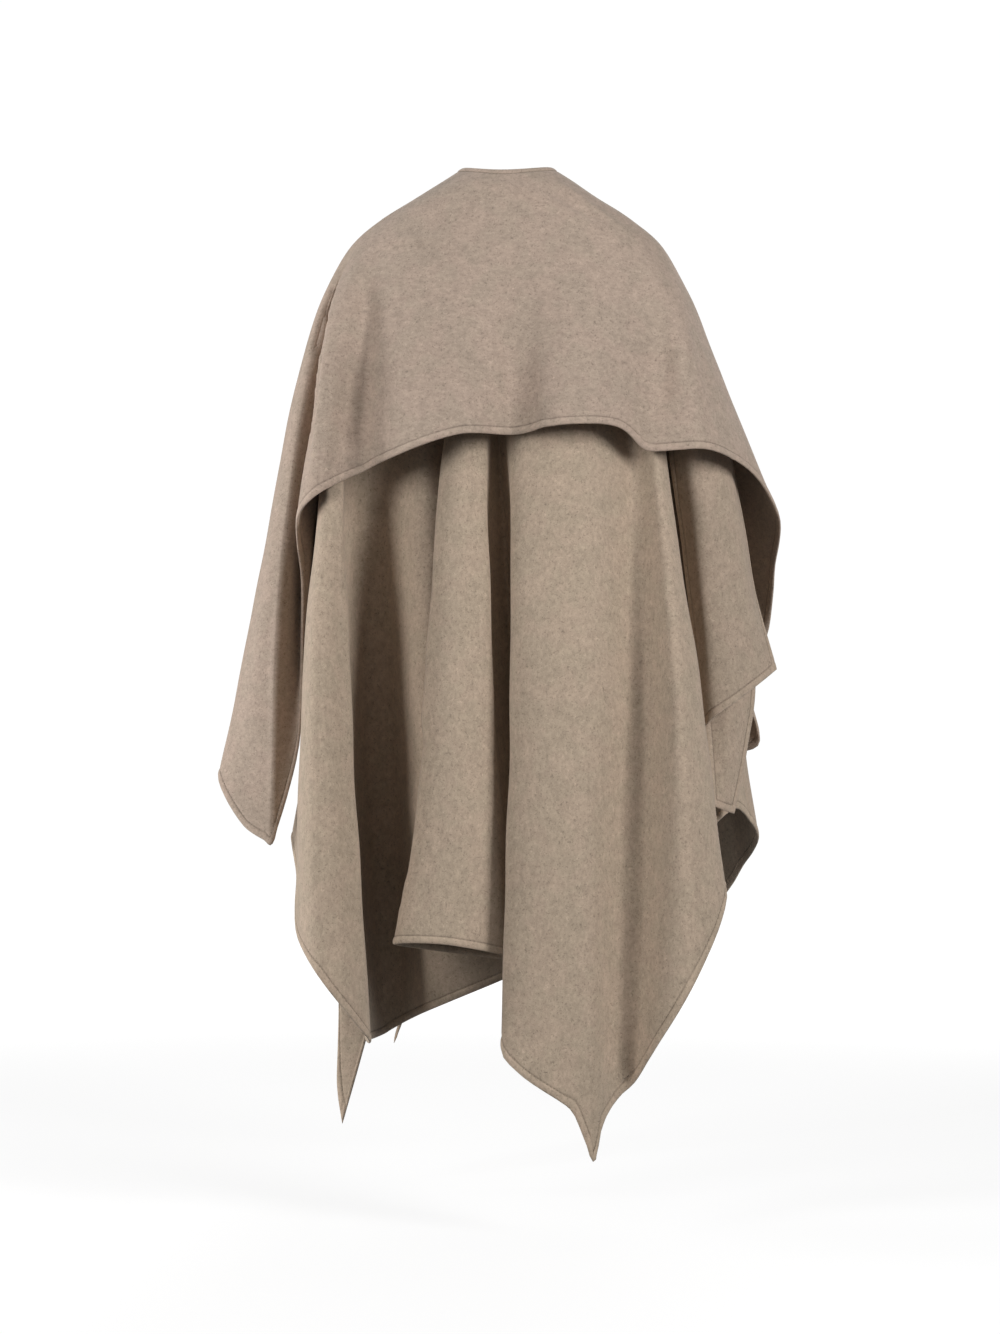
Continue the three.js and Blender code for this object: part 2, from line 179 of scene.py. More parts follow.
# %% [markdown]
# ## Where the fine points go
# A hem is 10 mm wide, so a plain grid fine enough to shape it would be far too heavy. The rows are
# placed by measure instead: close together at fixed distances from the hem, where the cloth is
# rounded, puffed and stitched down, and about 6 mm apart above. Where an edge slants across the
# cloth, the distances along a column are lengthened, so that the hem keeps its width.
# %% Spacing of the fine rows and columns
MM = 0.001
HEM_MARKS = np.array([0, 0.7, 1.8, 3.2, 5.0, 7.0, 8.6, 9.6, 10.6, 12.2, 15, 19, 24]) * MM
SEAM_MARKS = np.array([0, 1.0, 2.4, 4.5, 8, 13]) * MM
DENSE = 420              # rows that a sheet is measured on before its fine rows are placed
PER_COLUMN = 12          # measured columns between two columns of the cage
INWARD = 6               # measured columns in from an edge, to see how it slants
ABOVE_HEM = 8            # and measured rows up from the hem


def lengths_along(points, axis):
    """Distance from the start of each line of points."""
    steps = np.linalg.norm(np.diff(points, axis=axis), axis=-1)
    start = np.zeros_like(np.take(steps, [0], axis=axis))
    return np.concatenate([start, np.cumsum(steps, axis=axis)], axis=axis)


def marked(length, start, end, count):
    """Distances along a line: marks at its start, even spaces, and marks at its end."""
    room = length * 0.45   # a short line squeezes its marks, so that they don't meet
    start = start * min(1, room / max(start[-1], 1e-9))
    end = end * min(1, room / max(end[-1], 1e-9))
    middle = np.linspace(start[-1], length - end[-1], count - len(start) - len(end) + 2)
    return np.concatenate([start[:-1], middle, (length - end)[::-1][1:]])


def slant(edge, inward):
    """How much longer a distance is along a column than square to the edge."""
    along = np.gradient(edge, axis=0)
    along /= np.maximum(np.linalg.norm(along, axis=-1, keepdims=True), 1e-12)
    inward = inward / np.maximum(np.linalg.norm(inward, axis=-1, keepdims=True), 1e-12)
    sine = np.linalg.norm(np.cross(along, inward), axis=-1)
    return 1 / np.clip(sine, 0.42, 1)


def fine_columns(cage, count, left, right):
    """Column places of the fine grid, for every dense row of the sheet."""
    rows, columns = cage.shape[:2]
    row = np.linspace(0, rows - 1, DENSE)
    column = np.linspace(0, columns - 1, (columns - 1) * PER_COLUMN + 1)
    points = cloth_at(cage, *np.meshgrid(row, column, indexing="ij"))
    runs = lengths_along(points, 1)
    even = np.linspace(0, columns - 1, count - len(left) - len(right) + 2)
    stretch_left = slant(points[:, 0], points[:, INWARD] - points[:, 0])
    stretch_right = slant(points[:, -1], points[:, -1 - INWARD] - points[:, -1])
    places = []
    for run, more_left, more_right in zip(runs, stretch_left, stretch_right):
        first = np.interp(left * more_left, run, column)
        last = np.interp(run[-1] - right * more_right, run, column)
        used = (even[-1] - last[-1]) / even[-1], first[-1] / even[-1]
        middle = first[-1] + even * (1 - used[0] - used[1])
        places.append(np.concatenate([first[:-1], middle, last[::-1][1:]]))
    return row, np.array(places)


def fine_grid(cage, across, down, left, right, neck, hem):
    """The fine sheet, rows from the hem up."""
    row, columns = fine_columns(cage, across, left, right)
    points = cloth_at(cage, np.repeat(row[:, None], columns.shape[1], axis=1), columns)
    runs = lengths_along(points[::-1], 0)
    stretch = slant(points[-1], points[-1 - ABOVE_HEM] - points[-1])
    fine_row = np.empty((down, columns.shape[1]))
    fine_column = np.empty_like(fine_row)
    for k in range(columns.shape[1]):
        run = runs[:, k]
        places = marked(run[-1], hem * stretch[k], neck, down)
        fine_row[:, k] = np.interp(places, run, row[::-1])
        fine_column[:, k] = np.interp(fine_row[:, k], row, columns[:, k])
    return cloth_at(cage, fine_row, fine_column)


# %% [markdown]
# ## The seven sheets
# Each row of the table is one piece as it is cut: how many fine points it has across and down, which
# edges are hemmed, and its finish. Body panels are sewn to each other at the sides, so those edges
# are seams. The counts are as even as the space allows and stay well under 200,000 triangles.
# %% Table of pieces
Sheet = dict
SHEETS = {
    "back_panel": Sheet(across=196, down=188, left="seam", right="seam", finish="wool_body"),
    "front_left": Sheet(across=74, down=170, left="hem", right="seam", finish="wool_body"),
    "front_right": Sheet(across=104, down=170, left="seam", right="hem", finish="wool_body"),
    "wing_left": Sheet(across=58, down=100, left="hem", right="hem", finish="wool_side"),
    "wing_right": Sheet(across=62, down=112, left="hem", right="hem", finish="wool_side"),
    "side_drape_right": Sheet(across=54, down=120, left="hem", right="hem", finish="wool_side"),
    "shawl": Sheet(across=236, down=128, left="hem", right="hem", finish="wool_shawl"),
}
MARKS = {"hem": HEM_MARKS, "seam": SEAM_MARKS}

FINE = {}
for name, sheet in SHEETS.items():
    left, right = MARKS[sheet["left"]], MARKS[sheet["right"]]
    FINE[name] = fine_grid(CAGES[name], sheet["across"], sheet["down"], left, right, HEM_MARKS, HEM_MARKS)
    print(name, FINE[name].shape, "points")

# %% [markdown]
# ## Soft unevenness
# Hung wool is never a perfect curve: it dips and swells by a millimetre over a hand's width. A sum of
# slow waves in space, the same for every layer, moves the cloth along its own normal, so that layers
# that lie together still do.
# %% Normals and slow waves
def grid_normals(points):
    """Normals of a grid whose rows run from the hem up, away from the wearer."""
    up = np.gradient(points, axis=0)
    across = np.gradient(points, axis=1)
    normals = np.cross(across, up)
    return normals / np.maximum(np.linalg.norm(normals, axis=-1, keepdims=True), 1e-12)


WAVES = [
    # direction x, y, z, wavelength, start, height
    (0.83, 0.30, 0.47, 0.170, 0.4, 0.55),
    (-0.62, 0.45, 0.64, 0.118, 2.1, 0.40),
    (0.21, -0.70, 0.68, 0.087, 4.4, 0.28),
    (0.95, 0.20, -0.24, 0.061, 1.3, 0.18),
    (0.10, 0.15, 0.98, 0.230, 5.2, 0.40),
]


def slow_waves(points):
    heights = 0
    for x, y, z, wavelength, start, height in WAVES:
        turns = points @ np.array([x, y, z]) * 2 * math.pi / wavelength
        heights = heights + height * MM * np.sin(turns + start)
    return heights


for name, points in FINE.items():
    points += grid_normals(points) * slow_waves(points)[..., None]
highest = max(abs(slow_waves(points)).max() for points in FINE.values())
print("slow waves, highest:", round(highest / MM, 2), "mm")

# %% [markdown]
# ## Lines drawn on the cloth
# Folds are drawn as lines of x and z, in millimetres, on the back or the front of the cape. Each
# line is dropped onto the cloth that faces that way, so that it lies on the right layer.
# %% Finding a line on the cloth
Crease = dict
LINE_STEP = 5 * MM         # spacing of the places on a line
LINE_SMOOTHING = 6         # rounds that take the corners out of a line
SAME_PLACE = 6 * MM        # how close to a line, seen straight on, the cloth under it is looked for
FACING = 0.1               # least part of a normal that points at the viewer


def between(line, spacing):
    """Points about every `spacing` along a line of corners, smoothed."""
    line = np.array(line, float) * MM
    run = lengths_along(line, 0)
    places = np.linspace(0, run[-1], max(3, int(run[-1] / spacing)))
    straight = np.stack([np.interp(places, run, line[:, k]) for k in range(line.shape[1])], axis=1)
    for _ in range(LINE_SMOOTHING):
        straight[1:-1] = (straight[:-2] + 2 * straight[1:-1] + straight[2:]) / 4
    return straight


def dropped_on(points, normals, line, side):
    """The places on the cloth that a line of x and z falls on, seen from behind or in front."""
    facing = -1 if side == "back" else 1
    seen = points[normals[:, 1] * facing > FACING]
    places = []
    for x, z in line:
        away = np.hypot(seen[:, 0] - x, seen[:, 2] - z)
        near = seen[away < away.min() + SAME_PLACE]
        places.append(near[np.argmax(near[:, 1] * facing)])
    return np.array(places)


def nearness(points, side, crease):
    """For every point, 1 on the line of a crease, and less with distance and towards its ends."""
    normals = grid_normals(points).reshape(-1, 3)
    flat = points.reshape(-1, 3)
    line = dropped_on(flat, normals, between(crease["line"], LINE_STEP), side)
    away = np.full(len(flat), np.inf)
    fade = np.zeros(len(flat))
    for step, place in enumerate(line):
        distance = np.linalg.norm(flat - place, axis=1)
        closer = distance < away
        away[closer] = distance[closer]
        fade[closer] = math.sin(math.pi * (step + 0.5) / len(line)) ** 0.6
    near = fade * np.exp(-((away / (crease["width"] * MM)) ** 2))
    return near.reshape(points.shape[:2])[..., None]


# %% [markdown]
# ## Relaxing the broad valleys
# The wide troughs of heavy wool have no sharp bottom. Near a few lines, the fine cloth is averaged
# across with its neighbours, round after round, which opens a V into a soft U.
# %% Relaxed valleys
Valley = dict
SOFT_VALLEYS = {
    ("back_panel", "back"): [
        Valley(width=54, rounds=14, line=[(152, -300), (158, -600), (154, -850), (146, -1090)]),
        Valley(width=40, rounds=8, line=[(-138, -340), (-128, -600), (-112, -900)]),
    ],
    ("shawl", "back"): [
        Valley(width=40, rounds=10, line=[(-184, -150), (-186, -250), (-188, -350)]),
        Valley(width=44, rounds=8, line=[(181, -90), (180, -200), (174, -315)]),
    ],
}


def relaxed(points, side, valley):
    near = np.minimum(nearness(points, side, valley) * 1.6, 1.0)[:, 1:-1]
    for _ in range(valley["rounds"]):
        middle = (points[:, :-2] + points[:, 2:]) / 2
        points = points.copy()
        points[:, 1:-1] += (middle - points[:, 1:-1]) * near * 0.6
    return points


for (name, side), valleys in SOFT_VALLEYS.items():
    for valley in valleys:
        FINE[name] = relaxed(FINE[name], side, valley)
print(sum(map(len, SOFT_VALLEYS.values())), "valleys relaxed")

# %% [markdown]
# ## Creases placed one by one
# Thick wool folds in a few soft troughs and ridges rather than many sharp ones. Each crease is drawn
# as a line of x and z on one side of the cape. The line is dropped onto the cloth that faces that
# way, and the cloth near it is pushed in (a depth below 0) or out, most at the middle of the line
# and fading to its ends. A few are strong, and many are faint.
# %% Table of creases
CREASES = {
    # the centre crease, the valleys beside it, the ridges over the shoulders, and the left flap
    ("shawl", "back"): [
        Crease(width=8, depth=-2.4, line=[(-2, -60), (1, -110), (4, -168), (6, -230), (8, -310)]),
        Crease(width=17, depth=2.0, line=[(-22, -110), (-16, -180), (-12, -296)]),
        Crease(width=17, depth=4.0, line=[(42, -170), (42, -240), (42, -330)]),
        Crease(width=15, depth=-6.0, line=[(206, -100), (193, -190), (187, -262), (178, -330)]),
        Crease(width=15, depth=2.2, line=[(232, -120), (226, -200), (228, -310)]),
        Crease(width=9, depth=2.4, line=[(-2, 25), (40, 15), (71, -2), (104, -16), (129, -26), (162, -38)]),
        Crease(width=8, depth=-1.8, line=[(4, 14), (44, 2), (78, -16), (110, -30)]),
        Crease(width=7, depth=3.0, line=[(74, 34), (100, 12), (128, -10), (158, -30)]),
        Crease(width=8, depth=-2.6, line=[(58, 28), (88, 2), (118, -18)]),
        Crease(width=8, depth=1.6, line=[(-60, 42), (-20, 34), (30, 24), (66, 6)]),
        Crease(width=8, depth=2.4, line=[(-163, -44), (-130, -40), (-95, -38), (-70, -46)]),
        Crease(width=9, depth=-1.8, line=[(-168, -58), (-132, -54), (-92, -56)]),
        Crease(width=13, depth=-9.0, line=[(-178, -90), (-182, -170), (-185, -260), (-190, -360)]),
        Crease(width=6, depth=-8.0, line=[(-226, -84), (-236, -150), (-246, -230), (-258, -340)]),
        Crease(width=6, depth=3.6, line=[(-216, -84), (-226, -150), (-237, -230), (-249, -340)]),
        Crease(width=15, depth=1.4, line=[(-120, -120), (-126, -190), (-124, -270)]),
        Crease(width=18, depth=1.6, line=[(74, -120), (73, -190), (70, -270)]),
        Crease(width=12, depth=1.2, line=[(120, -130), (122, -200), (118, -270)]),
        Crease(width=11, depth=-1.0, line=[(-70, -90), (-74, -160), (-72, -250)]),
        Crease(width=11, depth=-1.8, line=[(236, -150), (262, -250), (290, -330)]),
        Crease(width=12, depth=-1.6, line=[(-262, -230), (-284, -400), (-304, -560)]),
        Crease(width=14, depth=1.8, line=[(-300, -430), (-322, -560), (-340, -690)]),
    ],
    # a pinch in the deep panel, the broad troughs, and faint columns on the wide folds
    ("back_panel", "back"): [
        Crease(width=3.2, depth=-2.6, line=[(-110, -424), (-107, -436), (-102, -447), (-101, -460)]),
        Crease(width=12, depth=2.2, line=[(-118, -330), (-122, -400), (-120, -470)]),
        Crease(width=9, depth=6.0, line=[(-176, -318), (-178, -360), (-180, -430)]),
        Crease(width=13, depth=1.8, line=[(-232, -400), (-236, -560), (-234, -760)]),
        Crease(width=10, depth=-1.2, line=[(-214, -430), (-212, -600), (-205, -800)]),
        Crease(width=11, depth=-5.0, line=[(-204, -400), (-196, -650), (-188, -845), (-178, -1000)]),
        Crease(width=11, depth=1.2, line=[(-60, -360), (-74, -520), (-92, -760)]),
        Crease(width=12, depth=-1.2, line=[(-36, -420), (-40, -600), (-48, -820)]),
        Crease(width=18, depth=1.8, line=[(40, -340), (44, -500), (40, -700), (36, -900)]),
        Crease(width=14, depth=-1.4, line=[(78, -380), (84, -560), (86, -760)]),
        Crease(width=12, depth=2.0, line=[(190, -400), (205, -600), (212, -800), (216, -900)]),
        Crease(width=15, depth=-1.6, line=[(30, -900), (52, -1000), (80, -1090)]),
        Crease(
            width=30, depth=-8.0,
            line=[(158, -400), (166, -640), (160, -840), (150, -1010), (136, -1230)],
        ),
        Crease(width=34, depth=-9.0, line=[(140, -640), (140, -860), (134, -1000), (122, -1190)]),
    ],
    ("wing_right", "back"): [
        Crease(width=12, depth=-1.8, line=[(262, -330), (282, -440), (300, -560)]),
        Crease(width=9, depth=1.6, line=[(240, -340), (248, -460), (262, -600)]),
    ],
    ("side_drape_right", "back"): [
        Crease(width=8, depth=-1.6, line=[(262, -480), (272, -600), (272, -720)]),
    ],
    ("wing_left", "front"): [
        Crease(width=10, depth=-1.6, line=[(-250, -330), (-262, -440), (-268, -540)]),
    ],
    # where the shawl crosses the chest and falls from the arms
    ("shawl", "front"): [
        Crease(width=14, depth=3.0, line=[(-150, -60), (-100, -110), (-60, -190), (-40, -300)]),
        Crease(width=13, depth=-2.6, line=[(-180, -90), (-140, -180), (-110, -320), (-100, -500)]),
        Crease(width=15, depth=2.2, line=[(-220, -160), (-210, -320), (-220, -520)]),
        Crease(width=13, depth=2.8, line=[(150, -60), (104, -120), (66, -210), (50, -340)]),
        Crease(width=14, depth=-2.8, line=[(176, -90), (150, -210), (136, -380), (140, -580)]),
        Crease(width=15, depth=2.4, line=[(226, -150), (232, -320), (240, -520), (256, -640)]),
    ],
    # the hidden fronts of the body, plainer than the back
    ("front_left", "front"): [
        Crease(width=15, depth=-2.6, line=[(-110, -560), (-140, -740), (-180, -980)]),
        Crease(width=15, depth=2.4, line=[(-170, -600), (-196, -800), (-214, -1000)]),
    ],
    ("front_right", "front"): [
        Crease(width=15, depth=-2.6, line=[(40, -560), (24, -740), (-10, -940)]),
        Crease(width=16, depth=2.6, line=[(110, -580), (122, -760), (130, -930)]),
        Crease(width=14, depth=-2.2, line=[(200, -580), (222, -720), (236, -860)]),
    ],
}


# %% [markdown]
# ## Pressing the creases in
# The cloth moves along its own normal, so a crease is square to the cloth wherever the fold under it
# turns. Creases are pressed one after the other, and where two cross their depths add up.
# %% Pressing the creases into the cloth
def pressed(points, side, crease):
    return points + grid_normals(points) * nearness(points, side, crease) * crease["depth"] * MM


for (name, side), creases in CREASES.items():
    for crease in creases:
        FINE[name] = pressed(FINE[name], side, crease)
print(sum(map(len, CREASES.values())), "creases pressed")

# %% [markdown]
# ## From a grid to a cloth mesh
# `create_grid` makes the mesh, and its points are then moved to their measured places. Solidify gives
# the cloth its wall, from a vertex group that says how thick it is at each point: the cut edge is
# thin and rounded, the turned hem is fuller than the cloth, and the stitched line pinches it.
# %% Thickness near an edge
FULL_WALL = 4.4 * MM       # over the turned hem, where the cloth lies double
CLOTH = 0.59               # share of that in the open cloth
FAR_FROM_HEM = 0.05
EDGE_SHAPES = {
    # distance from the edge in mm, and share of the full wall
    "hem": (
        [0, 0.7, 1.8, 3.2, 5.0, 7.0, 8.6, 9.6, 10.6, 12.2, 15],
        [0.26, 0.56, 0.80, 0.94, 1.0, 0.94, 0.68, 0.32, 0.50, 0.57, CLOTH],
    ),
    "seam": ([0, 1.0, 2.4, 4.5], [0.26, 0.42, 0.54, CLOTH]),
}


def thickness(distance, kind):
    near, share = EDGE_SHAPES[kind]
    return np.interp(distance / MM, near, share)


def edge_distances(points, first, axis):
    """Distance of every point of the grid from one edge, along its row or column."""
    run = lengths_along(points, axis)
    if not first:
        run = np.take(run, [-1], axis=axis) - run
    return run


def sheet_mesh(name, points):
    """A mesh grid with its points placed, row by row."""
    down, across = points.shape[:2]
    cloth = bmesh.new()
    bmesh.ops.create_grid(cloth, x_segments=across - 1, y_segments=down - 1, size=1)
    order = sorted(cloth.verts, key=lambda point: (round(point.co.y, 5), round(point.co.x, 5)))
    for index, (point, place) in enumerate(zip(order, points.reshape(-1, 3))):
        point.co = place
        point.index = index
    cloth.verts.sort()
    for face in cloth.faces:
        face.smooth = True
    mesh = bpy.data.meshes.new(name)
    cloth.to_mesh(mesh)
    cloth.free()
    return mesh


def edges_of(points, sheet):
    """Distances from the hem, the neck edge and the two sides, each with its kind of edge."""
    hem_slant = slant(points[0], points[len(HEM_MARKS) - 1] - points[0])
    return [
        (edge_distances(points, True, 0) / hem_slant[None, :], "hem"),
        (edge_distances(points, False, 0), "hem"),
        (edge_distances(points, True, 1), sheet["left"]),
        (edge_distances(points, False, 1), sheet["right"]),
    ]


def wall_share(edges):
    """Share of the full wall: thin close to any edge, and otherwise as full as the nearest hem."""
    shares = [thickness(distance, kind) for distance, kind in edges]
    thin = np.minimum.reduce(shares)
    return np.where(thin < CLOTH, thin, np.maximum.reduce(shares))


def keep_hem_distance(mesh, edges):
    """Stores how far each point is from a hem, for the painted shade of the stitch line and the painted
    highlight of the hem band.
    """
    nearest = np.minimum.reduce([distance for distance, kind in edges if kind == "hem"])
    kept = mesh.attributes.new("hem_distance", "FLOAT", "POINT")
    kept.data.foreach_set("value", np.minimum(nearest, FAR_FROM_HEM).reshape(-1).astype(np.float32))


def dressed(name, points, sheet):
    mesh = sheet_mesh(name + "_cloth", points)
    piece = bpy.data.objects.new(name + "_cloth", mesh)
    bpy.context.scene.collection.objects.link(piece)
    edges = edges_of(points, sheet)
    wall = piece.vertex_groups.new(name="wall")
    for index, weight in enumerate(wall_share(edges).reshape(-1)):
        wall.add([index], float(weight), "REPLACE")
    keep_hem_distance(mesh, edges)
    shell = piece.modifiers.new("wall", "SOLIDIFY")
    shell.thickness = FULL_WALL
    shell.offset = 0
    shell.vertex_group = "wall"
    shell.use_even_offset = False
    return piece


PIECES = {name: dressed(name, FINE[name], sheet) for name, sheet in SHEETS.items()}
for name, piece in PIECES.items():
    print(name, len(piece.data.polygons) * 4, "triangles with its wall")

# %% [markdown]
# ## Brushed wool
# The cloth is a beige melange: pale and dark wool is mixed before it is spun, woven double, felted
# and brushed. From a step away it shows soft mottling and short curly fibres, and hardly any weave.
# %% A small language for shader maths
class Value:
    """A shader socket that takes part in Python expressions."""

    def __init__(self, tree, socket):
        self.tree, self.socket = tree, socket

    def math(self, operation, *others):
        return node(self.tree, "ShaderNodeMath", {"operation": operation}, self, *others)

    def __add__(self, other):
        return self.math("ADD", other)

    def __sub__(self, other):
        return self.math("SUBTRACT", other)

    def __rsub__(self, other):
        return (self * -1) + other

    def __mul__(self, other):
        return self.math("MULTIPLY", other)

    __radd__ = __add__
    __rmul__ = __mul__


def plug(tree, target, value):
    if isinstance(value, Value):
        tree.links.new(value.socket, target)
    else:
        target.default_value = value


def node(tree, kind, settings, *inputs, out=0, **named):
    """A node with its settings made first, then its sockets in order or by name."""
    made = tree.nodes.new(kind)
    for setting, value in settings.items():
        setattr(made, setting, value)
    for target, value in zip(made.inputs, inputs):
        plug(tree, target, value)
    for title, value in named.items():
        plug(tree, made.inputs[title.replace("_", " ")], value)
    return Value(tree, made.outputs[out])


# %% [markdown]
# ## Melange wool, from large to small
# The shade is a sum of patterns: wide clouds where the mix of fibres varies, patches drawn out along
# the grain, fine mottling, streaks of single yarns, and the grain of the brushed nap. A few curly
# fibres lie on top, pale or dark, and small dark flecks. The same patterns raise a slight bump, and a
# thin sheen catches the light on the nap at a low angle. A painted highlight makes the hem band a
# little paler, and a painted shadow darkens the stitch line.
# %% Melange wool
def smooth_step(value, low, high):
    """0 below `low`, 1 above `high`, and soft between them."""
    ranged = {"interpolation_type": "SMOOTHSTEP"}
    return node(value.tree, "ShaderNodeMapRange", ranged, value, low, high, 0.0, 1.0)


def stretched(tree, place, x, y, z, moved=0.0):
    """Object coordinates stretched along each axis and moved aside, for a pattern of its own."""
    wide = node(tree, "ShaderNodeVectorMath", {"operation": "MULTIPLY"}, place, (x, y, z))
    return node(tree, "ShaderNodeVectorMath", {"operation": "ADD"}, wide, (moved, moved * 1.7, -moved))


def noise(tree, place, scale, detail, rough=0.5, warp=0.0):
    sockets = {"Vector": place, "Scale": scale, "Detail": detail, "Roughness": rough, "Distortion": warp}
    return node(tree, "ShaderNodeTexNoise", {}, **sockets)


def scaled(tree, colour, shade):
    return node(tree, "ShaderNodeVectorMath", {"operation": "SCALE"}, colour, Scale=shade)


def size_of(value):
    """A shader value without its sign."""
    return value.math("ABSOLUTE")


def fibres(tree, place, scale, width, moved):
    """Short curly fibres: thin contour lines of one noise, broken up by another."""
    field = noise(tree, stretched(tree, place, 1, 1, 1, moved), scale, 1.0, 0.5, 0.6)
    gaps = noise(tree, stretched(tree, place, 1, 1, 1, -moved), scale * 1.3, 0.0)
    return (1 - smooth_step(size_of(field - 0.5), 0.0, width)) * smooth_step(gaps, 0.52, 0.6)


def blend(tree, amount, first, second):
    """A colour between two others; the sockets numbered here are those of a colour mix."""
    made = tree.nodes.new("ShaderNodeMix")
    made.data_type = "RGBA"
    for socket, value in zip((0, 6, 7), (amount, first, second)):
        plug(tree, made.inputs[socket], value)
    return Value(tree, made.outputs[2])


# painted highlight on the hem band, up to the end of the double hem, and painted shade along the stitch
# line
HEM_FOLD = 7.5 * MM, 9.2 * MM            # where the double hem ends, seen from its edge
STITCH_LINE = 9.7 * MM
STITCH_SPREAD = 0.5 * MM, 1.7 * MM       # half width of the dark line, sharp and soft
ROSY = (1.012, 0.99, 1.0)                # tint of the patches with more undyed wool


def wool(name, colour, grain):
    """Melange wool whose mottling is drawn out along the grain, given as a stretch of x, y and z."""
    material = bpy.data.materials.new(name)
    material.use_nodes = True
    tree = material.node_tree
    shader = tree.nodes["Principled BSDF"]
    place = node(tree, "ShaderNodeTexCoord", {}, out="Object")
    along = stretched(tree, place, *grain)

    cloud = noise(tree, place, 30.0, 2.0)
    patch = noise(tree, along, 85.0, 2.0, 0.55)
    mottle = noise(tree, along, 210.0, 3.0, 0.65)
    streak = noise(tree, stretched(tree, along, *grain, 3.1), 230.0, 2.0)
    nap = noise(tree, place, 820.0, 2.0, 0.6)
    pale = fibres(tree, place, 120.0, 0.018, 0.37)
    dark = fibres(tree, place, 135.0, 0.016, 1.91)
    fleck = smooth_step(noise(tree, stretched(tree, place, 1, 1, 1, 5.3), 420.0, 0.0), 0.68, 0.75)

    shade = 1 + (cloud - 0.5) * 0.2 + (patch - 0.5) * 0.36 + (mottle - 0.5) * 0.52
    shade = shade + (streak - 0.5) * 0.32 + (nap - 0.5) * 0.46 + pale * 0.22 - dark * 0.24 - fleck * 0.24
    edge = node(tree, "ShaderNodeAttribute", {"attribute_name": "hem_distance"}, out="Fac")
    # painted highlight: the hem band is made 6% paler; painted shade: the stitch line is made 20% darker
    band = 1 - smooth_step(edge, *HEM_FOLD)
    groove = 1 - smooth_step(size_of(edge - STITCH_LINE), *STITCH_SPREAD)
    shade = shade * (1 + band * 0.06 - groove * 0.2)
    rosy = tuple(part * tint for part, tint in zip(colour, ROSY))
    mixed = smooth_step(cloud, 0.42, 0.58)
    dyed = blend(tree, mixed, scaled(tree, colour, shade), scaled(tree, rosy, shade))
    plug(tree, shader.inputs["Base Color"], dyed)
    plug(tree, shader.inputs["Roughness"], 0.93 - pale * 0.12)
    height = mottle * 0.5 + nap * 0.4 + streak * 0.2 + pale * 0.22 - dark * 0.12 - fleck * 0.1
    bump = node(tree, "ShaderNodeBump", {}, Strength=0.36, Distance=0.0009, Height=height)
    plug(tree, shader.inputs["Normal"], bump)
    shader.inputs["Specular IOR Level"].default_value = 0.22
    shader.inputs["Sheen Weight"].default_value = 0.22
    shader.inputs["Sheen Roughness"].default_value = 0.55
    shader.inputs["Sheen Tint"].default_value = (1.0, 0.93, 0.86, 1.0)
    return material


HANGING_GRAIN = (1.12, 1.12, 0.84)
WRAPPED_GRAIN = (0.84, 0.84, 1.18)
WOOLS = {
    "wool_body": wool("wool_body", (0.420, 0.332, 0.248), HANGING_GRAIN),
    "wool_side": wool("wool_side", (0.395, 0.311, 0.235), HANGING_GRAIN),
    "wool_shawl": wool("wool_shawl", (0.405, 0.318, 0.251), WRAPPED_GRAIN),
}
for name, piece in PIECES.items():
    piece.data.materials.append(WOOLS[SHEETS[name]["finish"]])
print("finishes:", sorted(WOOLS))

# %% [markdown]
# ## Stitches
# Every hem is turned once and sewn down about 10 mm in, with a thread a shade darker than the wool,
# which sinks into the nap. Each stitch is a tiny flattened capsule in the groove, on both faces of the
# cloth. One small sphere with few faces is placed thousands of times, so it stays cheap.
# %% Stitch lines in the grooves of the hems
GROOVE = int(np.argmin(abs(HEM_MARKS - 9.6 * MM)))
STITCH = {"step": 4.6 * MM, "length": 3.3 * MM, "width": 0.8 * MM, "height": 0.6 * MM, "rise": 0.85 * MM}


def groove_lines(points, sheet):
    """Lines of points and normals along the groove of every hem of a sheet."""
    normals = grid_normals(points)
    rows, columns = points.shape[:2]
    left = GROOVE if sheet["left"] == "hem" else 2
    right = columns - 1 - (GROOVE if sheet["right"] == "hem" else 2)
    level, upright = slice(left, right + 1), slice(GROOVE, rows - GROOVE)
    lines = [(GROOVE, level), (rows - 1 - GROOVE, level)]
    lines += [(upright, left)] if sheet["left"] == "hem" else []
    lines += [(upright, right)] if sheet["right"] == "hem" else []
    return [(points[line], normals[line]) for line in lines]


def spaced(line, normals, step):
    """Evenly spaced places along a line, with their normals and directions."""
    run = lengths_along(line, 0)
    places = np.arange(0.5, int(run[-1] / step)) * step
    at, up = (
        np.stack([np.interp(places, run, part[:, k]) for k in range(3)], axis=1)
        for part in (line, normals)
    )
    return zip(at, up, np.gradient(at, axis=0))


def stitch_shapes(points, sheet):
    """A 3 x 4 placement for every stitch: its three half sizes as directions, and its centre."""
    shapes = []
    for line, normals in groove_lines(points, sheet):
        for place, normal, ahead in spaced(line, normals, STITCH["step"]):
            up = normal / np.linalg.norm(normal)
            ahead = ahead - up * (up @ ahead)
            ahead = ahead / np.linalg.norm(ahead)
            beside = np.cross(up, ahead)
            sizes = ahead * STITCH["length"] / 2, beside * STITCH["width"] / 2, up * STITCH["height"] / 2
            shapes += [(*sizes, place + up * face) for face in (STITCH["rise"], -STITCH["rise"])]
    return np.array(shapes)


def repeated(shape, count):
    """Copies what is in a mesh, doubling each time, until it is there `count` times."""
    each = len(shape.verts), len(shape.edges), len(shape.faces)
    made = 1
    while made < count:
        more = min(made, count - made)
        parts = zip((shape.verts[:], shape.edges[:], shape.faces[:]), each)
        bmesh.ops.duplicate(shape, geom=[part for listed, size in parts for part in listed[: more * size]])
        made += more


SORTING = Vector((1, 3.7, 100))     # gives each point and face of a small sphere its own number


